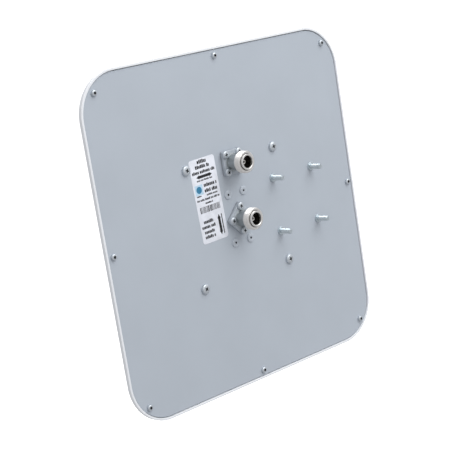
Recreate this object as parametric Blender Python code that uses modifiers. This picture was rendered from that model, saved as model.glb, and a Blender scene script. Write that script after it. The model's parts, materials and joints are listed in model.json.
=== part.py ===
"""Flat panel antenna: a dual-polarised two by two array of stacked patches behind a moulded radome.

Everything is laid out in the panel's own frame, in metres: X to the right and Y up as seen from
behind, Z out of the reflector's rear face. One empty then stands the panel up, so that its rear
looks along +Y and the centre of its four mounting studs is the origin.
"""

import math

import bmesh
import bpy
from mathutils import Matrix, Vector

MM = 0.001
GAP = 0.3 * MM  # between pieces that touch

# Housing
PANEL_HALF = 122.0 * MM  # half the radome's width and height
PANEL_CORNER = 32.0 * MM
LIP_THICKNESS = 1.8 * MM
LIP_HEIGHT = 0.8 * MM  # how far the lip stands behind the reflector's rear face
FRONT = -25.0 * MM  # the radome's flat front
WALL = 2.2 * MM
SIDE_DRAFT = math.radians(42)  # the flank's angle from the panel's normal
FRONT_ROUND = 18.0 * MM  # radius between the flank and the front
CORNER_STEPS = 7

# Reflector and seal
PLATE_HALF = PANEL_HALF - LIP_THICKNESS - 0.4 * MM
PLATE = 1.5 * MM
SEAL = 1.0 * MM
SEAL_WIDTH = 1.9 * MM
LEDGE = -(PLATE + SEAL + 2 * GAP)
LEDGE_INSET = 6.2 * MM
FLANK_INSET = 0.9 * MM  # where the flank starts, level with the ledge

# Fasteners: (head radius, head height, shank radius)
COVER_SCREW = (2.25 * MM, 1.85 * MM, 1.25 * MM)
FLANGE_SCREW = (2.8 * MM, 1.6 * MM, 1.5 * MM)
POST_SCREW = (3.5 * MM, 2.0 * MM, 2.0 * MM)
COVER_SCREW_EDGE = 6.3 * MM  # from the radome's outer edge to the screw's axis
COVER_SCREW_END = -7.2 * MM
BOSS_RADIUS = 3.5 * MM
CLEARANCE = 0.3 * MM  # hole radius less shank radius

# Mounting studs
STUD_PITCH = 40.0 * MM
STUD_OFFSET = 58.5 * MM  # from the panel's centre to the pattern's centre
STUD_RADIUS = 2.0 * MM
STUD_CHAMFER = 0.4 * MM
STUD_FLANGE = (3.0 * MM, 1.0 * MM)  # radius, top
STUD_TOP = 10.6 * MM

# Connectors: (x, y, turn)
CONNECTORS = {
    "upper": (0.0, 39.8 * MM, 0.0),
    "lower": (0.0, -1.2 * MM, math.radians(45)),
}
FLANGE_HALF = 8.75 * MM
FLANGE_CORNER = 1.2 * MM
FLANGE_HOLE = 6.35 * MM  # half the flange's 12.7 mm hole spacing
GASKET = (GAP, 0.6 * MM)  # bottom, top
FLANGE = (0.9 * MM, 2.7 * MM)
SPIGOT_RADIUS = 5.3 * MM
SPIGOT_END = -1.2 * MM
SPIGOT_HOLE = 5.9 * MM
NECK_RADIUS = 5.8 * MM
THREAD_RADIUS = 7.95 * MM
THREAD_START = 11.8 * MM
THREAD_CHAMFER = 0.6 * MM
SHOULDER = 16.9 * MM  # front of the threaded barrel
SLEEVE_RADIUS = 5.7 * MM  # the plain sleeve in front of it
CONNECTOR_TOP = 18.4 * MM
SOCKET_RADIUS = 4.4 * MM
SOCKET_MOUTH = 0.3 * MM  # its chamfer
INSULATOR_RADIUS = 3.9 * MM
INSULATOR = (-1.6 * MM, 9.3 * MM)
INSULATOR_BORE = 1.3 * MM
CONTACT_TOP = 14.2 * MM
CONTACT_RADIUS = 1.55 * MM
CONTACT_HOLE = (0.8 * MM, 4.0 * MM)  # radius, depth
CONTACT_SHANK = 1.0 * MM
CONTACT_PIN = 0.65 * MM
CONTACT_END = {"upper": -8.9 * MM, "lower": -6.2 * MM}  # through the front strip, and into the rear one
FLANGE_SCREW_END = -4.6 * MM

# Feed network
BOARD_HALF = 52.0 * MM
BOARD = (-7.6 * MM, -6.6 * MM)
STRIP = 0.4 * MM
STRIP_HALF_WIDTH = 1.5 * MM
STRIP_END = 2.0 * MM  # past a pin's or contact's centre
PIN_RADIUS = 0.7 * MM
FEED_PIN_LIFT = 0.3 * MM  # how far a feed pin stands proud of its strip
PIN_INSET = 20.0 * MM  # from a patch's centre to its feed point
RAIL_X = 14.0 * MM  # the rear strip's two rails
RIVET_X = 7.5 * MM
RIVET_Y = 17.5 * MM
RIVET_HEAD = (3.25 * MM, 1.0 * MM)
RIVET_RADIUS = 1.6 * MM
RIVET_SHOULDER = 3.0 * MM
RIVET_HOLE = (0.8 * MM, 3.0 * MM)  # radius, depth
RIVET_FLARE = 0.9 * MM  # of its set end
BOARD_CORNER = 6.0 * MM

# Radiating elements
ELEMENT_HALF_PITCH = 42.4 * MM
DRIVEN = (-14.0 * MM, -13.2 * MM)
DRIVEN_HALF = 29.0 * MM
PARASITIC = (-19.4 * MM, -18.6 * MM)
PARASITIC_HALF = 25.0 * MM
POST_FOOT = 4.5 * MM  # radius below the feed board
POST_RADIUS = 3.2 * MM  # radius above its shoulder
SPACER_RADIUS = 4.0 * MM
SPACER_STEM = 3.5 * MM  # how far its stem enters the post
STAKE_FLARE = 1.3 * MM  # of the spacer's set end
PATCH_CORNER = 2.0 * MM

# Label
LABEL_SIZE = (24.2 * MM, 60.0 * MM)
LABEL_CENTRE = (-25.8 * MM, 18.4 * MM)
LABEL_TURN = math.radians(1.9)
LABEL_THICKNESS = 0.15 * MM
LABEL_CORNER = 2.0 * MM

CORNERS = [(-1, 1), (1, 1), (-1, -1), (1, -1)]
CORNER_NAMES = ["top_left", "top_right", "bottom_left", "bottom_right"]

MATERIALS = {  # colour, roughness, metallic
    "radome_plastic": ((0.78, 0.80, 0.82), 0.45, 0.0),
    "painted_plate": ((0.44, 0.49, 0.54), 0.50, 0.0),
    "zinc": ((0.72, 0.73, 0.74), 0.30, 1.0),
    "nickel": ((0.76, 0.74, 0.69), 0.25, 1.0),
    "silver": ((0.80, 0.80, 0.77), 0.30, 1.0),
    "ptfe": ((0.85, 0.85, 0.82), 0.50, 0.0),
    "rubber": ((0.20, 0.21, 0.23), 0.70, 0.0),
    "nylon": ((0.80, 0.78, 0.70), 0.55, 0.0),
    "laminate": ((0.10, 0.24, 0.12), 0.50, 0.0),
    "copper": ((0.80, 0.45, 0.30), 0.35, 1.0),
    "aluminium": ((0.80, 0.81, 0.82), 0.35, 1.0),
    "label": ((0.86, 0.86, 0.88), 0.45, 0.0),
}


# Scene and helpers


def clear_scene():
    for item in list(bpy.data.objects):
        bpy.data.objects.remove(item, do_unlink=True)


def new_collection(name):
    collection = bpy.data.collections.new(name)
    bpy.context.scene.collection.children.link(collection)
    return collection


def material(name):
    made = bpy.data.materials.get(name)
    if made:
        return made
    colour, roughness, metallic = MATERIALS[name]
    made = bpy.data.materials.new(name)
    made.use_nodes = True
    shader = made.node_tree.nodes["Principled BSDF"]
    shader.inputs["Base Color"].default_value = (*colour, 1)
    shader.inputs["Roughness"].default_value = roughness
    shader.inputs["Metallic"].default_value = metallic
    return made


def evaluated_mesh(item):
    """The mesh of an object with its modifiers applied; the object itself is removed."""
    bpy.context.view_layer.update()
    evaluated = item.evaluated_get(bpy.context.evaluated_depsgraph_get())
    mesh = bpy.data.meshes.new_from_object(evaluated)
    bpy.data.objects.remove(item, do_unlink=True)
    return mesh


def welded(mesh):
    shape = bmesh.new()
    shape.from_mesh(mesh)
    bmesh.ops.remove_doubles(shape, verts=shape.verts, dist=1e-6)
    bmesh.ops.recalc_face_normals(shape, faces=shape.faces)
    shape.to_mesh(mesh)
    shape.free()
    return mesh


def rounded_square(half_x, half_y, radius, steps=CORNER_STEPS):
    """Points of a rounded rectangle, anticlockwise."""
    points = []
    for quarter, (sx, sy) in enumerate([(1, 1), (-1, 1), (-1, -1), (1, -1)]):
        centre = Vector((sx * (half_x - radius), sy * (half_y - radius)))
        for step in range(steps + 1):
            angle = (quarter + step / steps) * math.pi / 2
            points.append(centre + radius * Vector((math.cos(angle), math.sin(angle))))
    return points


def plate_mesh(outline, low, high):
    """A flat plate of a closed outline between two heights."""
    curve = bpy.data.curves.new("outline", "CURVE")
    curve.dimensions = "2D"
    curve.fill_mode = "BOTH"
    curve.extrude = (high - low) / 2
    spline = curve.splines.new("POLY")
    spline.points.add(len(outline) - 1)
    spline.use_cyclic_u = True
    for point, (x, y) in zip(spline.points, outline):
        point.co = (x, y, 0, 1)
    item = bpy.data.objects.new("outline", curve)
    bpy.context.scene.collection.objects.link(item)
    mesh = evaluated_mesh(item)
    mesh.transform(Matrix.Translation((0, 0, (low + high) / 2)))
    return welded(mesh)


def turned_mesh(profile, steps=12, closed=False):
    """A profile of (radius, height) points turned about Z, its outer side from top to bottom."""
    shape = bmesh.new()
    points = [shape.verts.new((radius, 0, height)) for radius, height in profile]
    for start, end in zip(points, points[1:]):
        shape.edges.new((start, end))
    if closed:
        shape.edges.new((points[-1], points[0]))
    mesh = bpy.data.meshes.new("profile")
    shape.to_mesh(mesh)
    shape.free()
    item = bpy.data.objects.new("profile", mesh)
    bpy.context.scene.collection.objects.link(item)
    turn = item.modifiers.new("turn", "SCREW")
    turn.steps = steps
    turn.render_steps = steps
    turn.use_merge_vertices = True
    turn.merge_threshold = 1e-6
    return welded(evaluated_mesh(item))


def cylinder_mesh(radius, low, high, steps=12):
    return turned_mesh([(0, high), (radius, high), (radius, low), (0, low)], steps)


def tube_mesh(outer, inner, low, high, steps=20):
    return turned_mesh([(outer, high), (outer, low), (inner, low), (inner, high)], steps, closed=True)


def pan_screw_mesh(size, seat, end):
    """A pan-head screw whose head sits at seat and whose shank runs down to end."""
    head, height, shank = size
    profile = [
        (0, seat + height),
        (head * 0.7, seat + height * 0.9),
        (head, seat + height * 0.4),
        (head, seat),
        (shank, seat),
        (shank, end),
        (0, end),
    ]
    return turned_mesh(profile)


def copies(mesh, places):
    """One mesh holding a copy of another at each place."""
    shape = bmesh.new()
    for x, y in places:
        start = len(shape.verts)
        shape.from_mesh(mesh)
        shape.verts.ensure_lookup_table()
        bmesh.ops.translate(shape, vec=(x, y, 0), verts=shape.verts[start:])
    made = bpy.data.meshes.new("copies")
    shape.to_mesh(made)
    shape.free()
    return made


def placed(name, mesh, place, turn, collection):
    item = bpy.data.objects.new(name, mesh)
    collection.objects.link(item)
    item.parent = STAND
    item.location = (*place, 0)
    item.rotation_euler = (0, 0, turn)
    return item


def node(name, mesh, slot, place=(0, 0), turn=0.0):
    """One named piece."""
    mesh.name = name
    mesh.shade_smooth()
    mesh.set_sharp_from_angle(angle=math.radians(35))
    if not mesh.materials:
        mesh.materials.append(material(slot))
    return placed(name, mesh, place, turn, PARTS)


def nodes(name, mesh, slot, places, turn=0.0):
    """A numbered piece at each place, all of one mesh."""
    return [node(f"{name}_{number}", mesh, slot, place, turn) for number, place in enumerate(places, 1)]


def cutter(name, mesh, place=(0, 0), turn=0.0):
    item = placed(name, mesh, place, turn, CUTTERS)
    item.hide_render = True
    item.display_type = "WIRE"
    return item


def combine(item, tool, operation):
    boolean = item.modifiers.new(tool.name, "BOOLEAN")
    boolean.operation = operation
    boolean.solver = "EXACT"
    boolean.object = tool


def cut(item, *tools):
    for tool in tools:
        combine(item, tool, "DIFFERENCE")


def join(item, tool):
    combine(item, tool, "UNION")


def mirrored(half):
    """A closed outline from the points of its right half, bottom to top."""
    return half + [(-x, y) for x, y in reversed(half) if x > 0]


def square_places(half):
    return [(sx * half, sy * half) for sx, sy in CORNERS]


def turned_places(x, y, half, turn):
    """The four corners of a square pattern turned about its own centre."""
    spin = Matrix.Rotation(turn, 2)
    return [(x + p.x, y + p.y) for p in (spin @ Vector(corner) for corner in square_places(half))]


# Housing


def cover_screw_places():
    """Four screws at the corners and four at the middles of the sides."""
    side = PANEL_HALF - COVER_SCREW_EDGE
    corner = PANEL_HALF - PANEL_CORNER + (PANEL_CORNER - COVER_SCREW_EDGE) / math.sqrt(2)
    return square_places(corner) + [(side, 0), (-side, 0), (0, side), (0, -side)]


def flank_profile(shift):
    """The flank and front rounding, as (inset, height) points, moved inward by the wall's thickness."""
    start = Vector((FLANK_INSET, LEDGE))
    along = Vector((math.sin(SIDE_DRAFT), -math.cos(SIDE_DRAFT)))
    inward = Vector((math.cos(SIDE_DRAFT), math.sin(SIDE_DRAFT)))
    round_drop = FRONT_ROUND * (1 - math.sin(SIDE_DRAFT))
    flank = (start.y - FRONT - round_drop) / math.cos(SIDE_DRAFT)
    centre = start + along * flank + inward * FRONT_ROUND
    radius = FRONT_ROUND - shift
    points = [start + inward * shift]
    steps = 4
    for step in range(steps + 1):
        angle = SIDE_DRAFT + (math.pi / 2 - SIDE_DRAFT) * step / steps
        points.append(centre - radius * Vector((math.cos(angle), math.sin(angle))))
    return points


def loft_mesh(profile):
    """A closed solid of rounded squares, one for each (inset, height) point, with flat ends."""
    shape = bmesh.new()
    rings = []
    for inset, height in profile:
        outline = rounded_square(PANEL_HALF - inset, PANEL_HALF - inset, PANEL_CORNER - inset)
        rings.append([shape.verts.new((x, y, height)) for x, y in outline])
    for upper, lower in zip(rings, rings[1:]):
        for step in range(len(upper)):
            after = (step + 1) % len(upper)
            shape.faces.new((upper[step], lower[step], lower[after], upper[after]))
    shape.faces.new(rings[0])
    shape.faces.new(list(reversed(rings[-1])))
    mesh = bpy.data.meshes.new("loft")
    shape.to_mesh(mesh)
    shape.free()
    return welded(mesh)


def make_radome():
    lip = [
        (0.5 * MM, LIP_HEIGHT),
        (0.12 * MM, LIP_HEIGHT - 0.15 * MM),
        (0, LIP_HEIGHT - 0.5 * MM),
        (0, -1.2 * MM),
        (0.3 * MM, -2.2 * MM),
    ]
    radome = node("radome", loft_mesh(lip + flank_profile(0)), "radome_plastic")
    flank = flank_profile(WALL)
    ledge_start, arc_start = flank[0], flank[1]
    share = (LEDGE_INSET - ledge_start.x) / (arc_start.x - ledge_start.x)
    foot = ledge_start.lerp(arc_start, share)
    cavity_profile = [
        (LIP_THICKNESS, LIP_HEIGHT + 1 * MM),
        (LIP_THICKNESS, LEDGE),
        (LEDGE_INSET, LEDGE),
        (LEDGE_INSET, foot.y),
    ] + flank[1:]
    cavity = cutter("radome_cavity", loft_mesh(cavity_profile))
    places = cover_screw_places()
    bosses = cutter("radome_bosses", copies(cylinder_mesh(BOSS_RADIUS, 2 * FRONT, LEDGE), places))
    cut(cavity, bosses)
    pilot = cylinder_mesh(COVER_SCREW[2] + CLEARANCE, COVER_SCREW_END - GAP, 1 * MM, 10)
    pilots = cutter("radome_pilots", copies(pilot, places))
    cut(radome, cavity, pilots)


def make_reflector():
    corner = PANEL_CORNER - (PANEL_HALF - PLATE_HALF)
    plate = node(
        "reflector",
        plate_mesh(rounded_square(PLATE_HALF, PLATE_HALF, corner), -PLATE, 0),
        "painted_plate",
    )
    holes = {
        "cover": (COVER_SCREW[2] + CLEARANCE, cover_screw_places()),
        "post": (POST_SCREW[2] + CLEARANCE, square_places(ELEMENT_HALF_PITCH)),
        "rivet": (RIVET_RADIUS + CLEARANCE, rivet_places()),
        "spigot": (SPIGOT_HOLE, [(x, y) for x, y, turn in CONNECTORS.values()]),
    }
    flange_holes = [p for x, y, turn in CONNECTORS.values() for p in turned_places(x, y, FLANGE_HOLE, turn)]
    holes["flange"] = (FLANGE_SCREW[2] + CLEARANCE, flange_holes)
    for name, (radius, places) in holes.items():
        steps = 24 if name == "spigot" else 10
        hole = cylinder_mesh(radius, -2 * PLATE, PLATE, steps)
        tool = cutter("plate_holes_" + name, copies(hole, places))
        cut(plate, tool)


def make_seal():
    outer_half = PLATE_HALF - GAP
    corner = PANEL_CORNER - (PANEL_HALF - outer_half)
    seal = node(
        "rim_seal",
        plate_mesh(rounded_square(outer_half, outer_half, corner), -PLATE - GAP - SEAL, -PLATE - GAP),
        "rubber",
    )
    inner_half = outer_half - SEAL_WIDTH
    inner = rounded_square(inner_half, inner_half, corner - SEAL_WIDTH)
    cut(seal, cutter("seal_window", plate_mesh(inner, LEDGE - SEAL, 0)))


def make_cover_screws():
    nodes("cover_screw", pan_screw_mesh(COVER_SCREW, GAP, COVER_SCREW_END), "zinc", cover_screw_places())


def make_studs():
    flange_radius, flange_top = STUD_FLANGE
    profile = [
        (0, STUD_TOP),
        (STUD_RADIUS - STUD_CHAMFER, STUD_TOP),
        (STUD_RADIUS, STUD_TOP - STUD_CHAMFER),
        (STUD_RADIUS, flange_top),
        (flange_radius, flange_top),
        (flange_radius, GAP),
        (0, GAP),
    ]
    places = [(STUD_OFFSET + x, y) for x, y in square_places(STUD_PITCH / 2)]
    nodes("mounting_stud", turned_mesh(profile, 16), "zinc", places)


def make_label():
    width, height = LABEL_SIZE
    outline = rounded_square(width / 2, height / 2, LABEL_CORNER, 5)
    mesh = plate_mesh(outline, GAP, GAP + LABEL_THICKNESS)
    node("rear_label", mesh, "label", LABEL_CENTRE, LABEL_TURN)


# Connectors


def make_connector(name, x, y, turn):
    here = (x, y)
    screws = turned_places(x, y, FLANGE_HOLE, turn)
    screw_hole = FLANGE_SCREW[2] + CLEARANCE
    square = rounded_square(FLANGE_HALF, FLANGE_HALF, FLANGE_CORNER, 3)

    gasket = node(name + "_flange_gasket", plate_mesh(square, *GASKET), "rubber", here, turn)
    flange = node(name + "_connector_shell", plate_mesh(square, *FLANGE), "nickel", here, turn)
    drill = cylinder_mesh(screw_hole, -PLATE, 2 * FLANGE[1], 10)
    holes = cutter(name + "_flange_holes", copies(drill, screws))
    spigot = cylinder_mesh(SPIGOT_HOLE, -PLATE, FLANGE[0] - 0.1 * MM, 24)
    spigot_hole = cutter(name + "_gasket_bore", spigot, here)
    cut(gasket, holes, spigot_hole)

    sunk = (FLANGE[0] + FLANGE[1]) / 2
    barrel_profile = [
        (0, CONNECTOR_TOP),
        (SLEEVE_RADIUS, CONNECTOR_TOP),
        (SLEEVE_RADIUS, SHOULDER),
        (THREAD_RADIUS - THREAD_CHAMFER, SHOULDER),
        (THREAD_RADIUS, SHOULDER - THREAD_CHAMFER),
        (THREAD_RADIUS, THREAD_START + THREAD_CHAMFER),
        (NECK_RADIUS, THREAD_START),
        (NECK_RADIUS, sunk),
        (SPIGOT_RADIUS, sunk),
        (SPIGOT_RADIUS, SPIGOT_END),
        (0, SPIGOT_END),
    ]
    barrel = cutter(name + "_barrel", turned_mesh(barrel_profile, 28), here)
    join(flange, barrel)
    insulator_hole = INSULATOR_RADIUS + CLEARANCE
    shelf = INSULATOR[1] - GAP
    bore_profile = [
        (0, CONNECTOR_TOP + 1 * MM),
        (SOCKET_RADIUS + SOCKET_MOUTH, CONNECTOR_TOP + 1 * MM),
        (SOCKET_RADIUS + SOCKET_MOUTH, CONNECTOR_TOP),
        (SOCKET_RADIUS, CONNECTOR_TOP - SOCKET_MOUTH),
        (SOCKET_RADIUS, shelf),
        (insulator_hole, shelf),
        (insulator_hole, 2 * SPIGOT_END),
        (0, 2 * SPIGOT_END),
    ]
    bore = cutter(name + "_bore", turned_mesh(bore_profile, 28), here)
    cut(flange, holes, bore)

    core = tube_mesh(INSULATOR_RADIUS, INSULATOR_BORE, *INSULATOR)
    node(name + "_connector_insulator", core, "ptfe", here)
    shoulder = INSULATOR[1] + GAP
    hole, depth = CONTACT_HOLE
    contact_profile = [
        (hole, CONTACT_TOP),
        (CONTACT_RADIUS, CONTACT_TOP),
        (CONTACT_RADIUS, shoulder),
        (CONTACT_SHANK, shoulder),
        (CONTACT_SHANK, INSULATOR[0]),
        (CONTACT_PIN, INSULATOR[0]),
        (CONTACT_PIN, CONTACT_END[name]),
        (0, CONTACT_END[name]),
        (0, CONTACT_TOP - depth),
        (hole, CONTACT_TOP - depth),
    ]
    node(name + "_connector_contact", turned_mesh(contact_profile, closed=True), "silver", here)

    seat = FLANGE[1] + GAP
    nodes(name + "_flange_screw", pan_screw_mesh(FLANGE_SCREW, seat, FLANGE_SCREW_END), "zinc", screws)


# Feed network and radiating elements


def rivet_places():
    return [(sx * RIVET_X, sy * RIVET_Y) for sx, sy in CORNERS]


def upper_pin_places():
    """Feed points above and below the middle line, one under each patch."""
    near = ELEMENT_HALF_PITCH - PIN_INSET
    return [(sx * ELEMENT_HALF_PITCH, sy * near) for sx, sy in CORNERS]


def lower_pin_places():
    return [(x, y) for y, x in upper_pin_places()]


def make_feed_board():
    outline = rounded_square(BOARD_HALF, BOARD_HALF, BOARD_CORNER, 6)
    board = node("feed_board", plate_mesh(outline, *BOARD), "laminate")
    pin_hole = PIN_RADIUS + CLEARANCE
    x, y, _turn = CONNECTORS["upper"]
    holes = {
        "post": (POST_RADIUS + CLEARANCE, square_places(ELEMENT_HALF_PITCH)),
        "rivet": (RIVET_RADIUS + CLEARANCE, rivet_places()),
        "pin": (pin_hole, upper_pin_places() + lower_pin_places() + [(x, y)]),
    }
    for name, (radius, places) in holes.items():
        hole = cylinder_mesh(radius, 2 * BOARD[0], 0, 8)
        cut(board, cutter("board_holes_" + name, copies(hole, places)))


def make_strip(name, outline, low, pins, contact):
    """A stamped strip with a hole for the connector's pin and a feed pin brazed into each end."""
    strip = node(name, plate_mesh(outline, low, low + STRIP), "copper")
    hole = cylinder_mesh(PIN_RADIUS + CLEARANCE, 2 * low, 0, 8)
    cut(strip, cutter(name + "_hole", hole, contact))
    pin = cylinder_mesh(PIN_RADIUS, DRIVEN[1] + GAP, low + STRIP + FEED_PIN_LIFT, 8)
    join(strip, cutter(name + "_pins", copies(pin, pins)))


def make_feed_strips():
    half = STRIP_HALF_WIDTH
    rail, near = ELEMENT_HALF_PITCH, ELEMENT_HALF_PITCH - PIN_INSET
    x, y, _turn = CONNECTORS["upper"]
    upper = [
        (rail - half, -half),
        (rail - half, -near - STRIP_END),
        (rail + half, -near - STRIP_END),
        (rail + half, near + STRIP_END),
        (rail - half, near + STRIP_END),
        (rail - half, half),
        (half, half),
        (half, y + STRIP_END),
    ]
    front_low = BOARD[0] - GAP - STRIP
    make_strip("upper_feed_strip", mirrored(upper), front_low, upper_pin_places(), (x, y))

    x, y, _turn = CONNECTORS["lower"]
    far = ELEMENT_HALF_PITCH
    lower = [
        (RAIL_X - half, y - half),
        (RAIL_X - half, -far - half),
        (near + STRIP_END, -far - half),
        (near + STRIP_END, -far + half),
        (RAIL_X + half, -far + half),
        (RAIL_X + half, far - half),
        (near + STRIP_END, far - half),
        (near + STRIP_END, far + half),
        (RAIL_X - half, far + half),
        (RAIL_X - half, y + half),
    ]
    make_strip("lower_feed_strip", mirrored(lower), BOARD[1] + GAP, lower_pin_places(), (x, y))


def make_board_standoffs():
    """Shouldered rivets that hold the feed board off the reflector at its middle."""
    radius, height = RIVET_HEAD
    hole, depth = RIVET_HOLE
    top = GAP + height
    front = BOARD[0] - GAP
    profile = [
        (hole, top),
        (radius * 0.6, top - height * 0.25),
        (radius, GAP + 0.2 * MM),
        (radius, GAP),
        (RIVET_RADIUS, GAP),
        (RIVET_RADIUS, -PLATE - GAP),
        (RIVET_SHOULDER, -PLATE - GAP),
        (RIVET_SHOULDER, BOARD[1] + GAP),
        (RIVET_RADIUS, BOARD[1] + GAP),
        (RIVET_RADIUS, front),
        (RIVET_RADIUS + RIVET_FLARE, front),
        (RIVET_RADIUS, front - RIVET_FLARE),
        (0, front - RIVET_FLARE),
        (0, top - depth),
        (hole, top - depth),
    ]
    nodes("board_standoff", turned_mesh(profile, 10, closed=True), "aluminium", rivet_places())


def make_posts():
    """Each element's stack: a screw through the reflector, a shouldered post, and a staked spacer."""
    places = square_places(ELEMENT_HALF_PITCH)
    hole = POST_SCREW[2] + CLEARANCE
    seat = DRIVEN[1] + GAP
    nodes("post_screw", pan_screw_mesh(POST_SCREW, GAP, BOARD[0] - 1 * MM), "zinc", places)

    post_profile = [
        (POST_FOOT, -PLATE - GAP),
        (POST_FOOT, BOARD[1] + GAP),
        (POST_RADIUS, BOARD[1] + GAP),
        (POST_RADIUS, seat),
        (hole, seat),
        (hole, -PLATE - GAP),
    ]
    nodes("patch_post", turned_mesh(post_profile, closed=True), "nylon", places)

    stem = POST_SCREW[2]
    stake = PARASITIC[0] - GAP
    spacer_profile = [
        (0, seat + SPACER_STEM),
        (stem, seat + SPACER_STEM),
        (stem, DRIVEN[0] - GAP),
        (SPACER_RADIUS, DRIVEN[0] - GAP),
        (SPACER_RADIUS, PARASITIC[1] + GAP),
        (stem, PARASITIC[1] + GAP),
        (stem, stake),
        (stem + STAKE_FLARE, stake),
        (stem, stake - STAKE_FLARE),
        (0, stake - STAKE_FLARE),
    ]
    nodes("patch_spacer", turned_mesh(spacer_profile), "nylon", places)


def make_patches():
    hole = cylinder_mesh(POST_SCREW[2] + CLEARANCE, 2 * FRONT, 0)
    holes = cutter("patch_holes", copies(hole, square_places(ELEMENT_HALF_PITCH)))
    for (sx, sy), where in zip(CORNERS, CORNER_NAMES):
        place = (sx * ELEMENT_HALF_PITCH, sy * ELEMENT_HALF_PITCH)
        driven = plate_mesh(rounded_square(DRIVEN_HALF, DRIVEN_HALF, PATCH_CORNER, 3), *DRIVEN)
        cut(node("driven_patch_" + where, driven, "aluminium", place), holes)
        parasitic = plate_mesh(rounded_square(PARASITIC_HALF, PARASITIC_HALF, PATCH_CORNER, 3), *PARASITIC)
        cut(node("parasitic_patch_" + where, parasitic, "aluminium", place), holes)


clear_scene()
PARTS = new_collection("flat_panel_antenna")
CUTTERS = new_collection("cutters")
STAND = bpy.data.objects.new("panel_frame", None)
STAND.rotation_euler = (math.radians(90), 0, math.radians(180))
STAND.location = (STUD_OFFSET, 0, 0)
PARTS.objects.link(STAND)

make_radome()
make_reflector()
make_seal()
make_cover_screws()
make_studs()
make_label()
for connector, placing in CONNECTORS.items():
    make_connector(connector, *placing)
make_feed_board()
make_feed_strips()
make_board_standoffs()
make_posts()
make_patches()
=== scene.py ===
"""The looks of the flat panel antenna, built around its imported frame.

Shapes are laid out in the panel's own frame: X to the right and Y up as seen from behind, Z out of
the reflector's rear face. PANEL takes them into the row frame. The sizes of each group of pieces
are named above the functions that make them.
"""

import json
import math
import random
from collections import namedtuple

import bmesh
import bpy
from mathutils import Matrix, Vector


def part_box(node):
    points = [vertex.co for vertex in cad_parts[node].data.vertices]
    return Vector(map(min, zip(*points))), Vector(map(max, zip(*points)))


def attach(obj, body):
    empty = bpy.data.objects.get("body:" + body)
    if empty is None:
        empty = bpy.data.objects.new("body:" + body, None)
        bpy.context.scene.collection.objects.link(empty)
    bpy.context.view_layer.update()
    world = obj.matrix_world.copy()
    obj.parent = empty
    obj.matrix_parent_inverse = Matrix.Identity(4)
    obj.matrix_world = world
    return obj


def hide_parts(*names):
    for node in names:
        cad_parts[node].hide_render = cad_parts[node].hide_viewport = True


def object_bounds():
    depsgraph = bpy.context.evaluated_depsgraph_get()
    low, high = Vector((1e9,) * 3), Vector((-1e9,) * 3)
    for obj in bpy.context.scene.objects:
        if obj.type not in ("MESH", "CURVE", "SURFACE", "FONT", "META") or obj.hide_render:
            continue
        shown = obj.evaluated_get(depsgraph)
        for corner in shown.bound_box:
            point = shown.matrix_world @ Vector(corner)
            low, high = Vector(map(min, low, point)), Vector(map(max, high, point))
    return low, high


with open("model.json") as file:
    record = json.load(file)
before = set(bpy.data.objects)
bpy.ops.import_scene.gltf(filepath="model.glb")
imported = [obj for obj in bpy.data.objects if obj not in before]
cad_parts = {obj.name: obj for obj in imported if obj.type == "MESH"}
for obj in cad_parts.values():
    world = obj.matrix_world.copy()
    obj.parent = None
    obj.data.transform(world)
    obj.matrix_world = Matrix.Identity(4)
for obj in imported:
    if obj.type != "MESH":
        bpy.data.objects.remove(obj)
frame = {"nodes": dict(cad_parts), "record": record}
CAD_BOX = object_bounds()

MM = 0.001
PLATE_LOW, PLATE_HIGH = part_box("reflector")
PANEL_CENTRE = Vector(
    ((PLATE_LOW.x + PLATE_HIGH.x) / 2, PLATE_HIGH.y, (PLATE_LOW.z + PLATE_HIGH.z) / 2)
)
PANEL_AXES = Matrix(((-1, 0, 0, 0), (0, 0, 1, 0), (0, 1, 0, 0), (0, 0, 0, 1)))
PANEL = Matrix.Translation(PANEL_CENTRE) @ PANEL_AXES


def local_box(node):
    """Lowest and highest corner of a CAD node in the panel's frame."""
    corners = [PANEL.inverted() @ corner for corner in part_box(node)]
    low = Vector([min(c[i] for c in corners) for i in range(3)])
    high = Vector([max(c[i] for c in corners) for i in range(3)])
    return low, high


def centre_of(node):
    low, high = local_box(node)
    return (low.x + high.x) / 2, (low.y + high.y) / 2


# Camera, light and floor

CAMERA_PLACE = (138.307, 10.121, 0.96135)  # azimuth, elevation, distance from the panel's centre
CAMERA_BACK = (139.271, 11.829, -9.252)  # azimuth and elevation of its back, and its roll
CAMERA_LENS = 107.24
CAMERA_SHIFT = (0.0031, 0.0765)
CAMERA_NEAR = 0.05

KEY_LIGHT = (203, 50, 1.6, 1.4, 20)  # azimuth, elevation, distance, size, watts
FRONT_FILL = (-28, 42, 1.8, 1.2, 7)
SKY = [  # from straight down at 0 to straight up at 1
    (0.30, (0.54, 0.54, 0.55)),
    (0.80, (0.74, 0.74, 0.75)),
]

FLOOR_DROP = 0.30  # the floor's depth below the panel, which hangs on its bracket
FLOOR_FLAT = 3.0  # radius of its flat part
FLOOR_RISE = 2.5  # radius of the curve at its rim
FLOOR_STEPS = 16
FLOOR_SEGMENTS = 96
PAPER_WHITE = (0.93, 0.93, 0.93)
PAPER_ROUGHNESS = 0.8
PAPER_GLOW = 0.7


def from_angles(azimuth, elevation):
    a, e = math.radians(azimuth), math.radians(elevation)
    return Vector((math.sin(a) * math.cos(e), -math.cos(a) * math.cos(e), math.sin(e)))


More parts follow.
